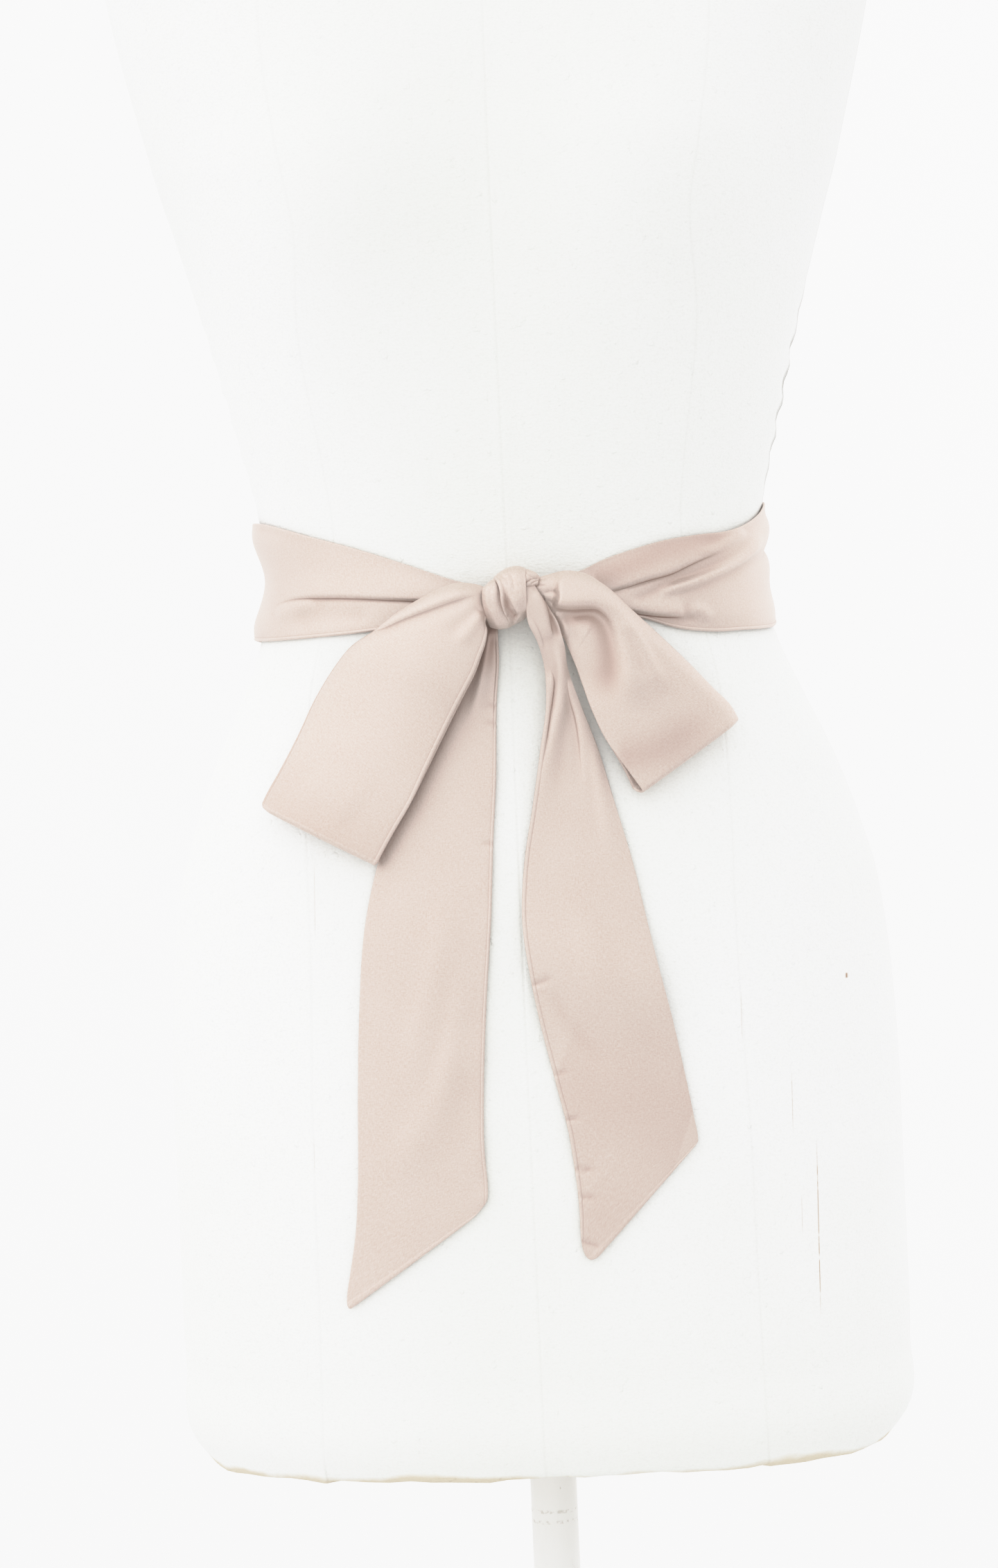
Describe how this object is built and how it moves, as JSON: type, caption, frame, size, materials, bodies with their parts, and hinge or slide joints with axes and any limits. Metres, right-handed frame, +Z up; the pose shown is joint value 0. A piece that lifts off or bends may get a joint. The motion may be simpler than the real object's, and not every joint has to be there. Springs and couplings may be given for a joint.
{
  "type": "satin sash on a dress form",
  "caption": "Long satin sash wound round a waist and tied in a bow with hanging tails, on a limbless dress form with a pole stand.",
  "frame": {"origin": "centre of the stand base's underside, on the floor under the pole", "axes": "+Z up along the pole, the form's front and the bow face -Y, +X is to the right as seen from the front"},
  "size_m": [0.4, 0.4, 1.496],
  "materials": {
    "satin": "satin",
    "canvas": "matte",
    "enamel": "satin"
  },
  "bodies": {
    "root": {"waist_wrap": "satin", "knot_core": "satin", "knot_turn_front": "satin", "knot_turn_left": "satin", "knot_tuck": "satin", "loop_left": "satin", "loop_right": "satin", "tail_left": "satin", "tail_right": "satin", "dress_form": "canvas", "pole": "enamel", "stand_base": "enamel"}
  },
  "joints": []
}
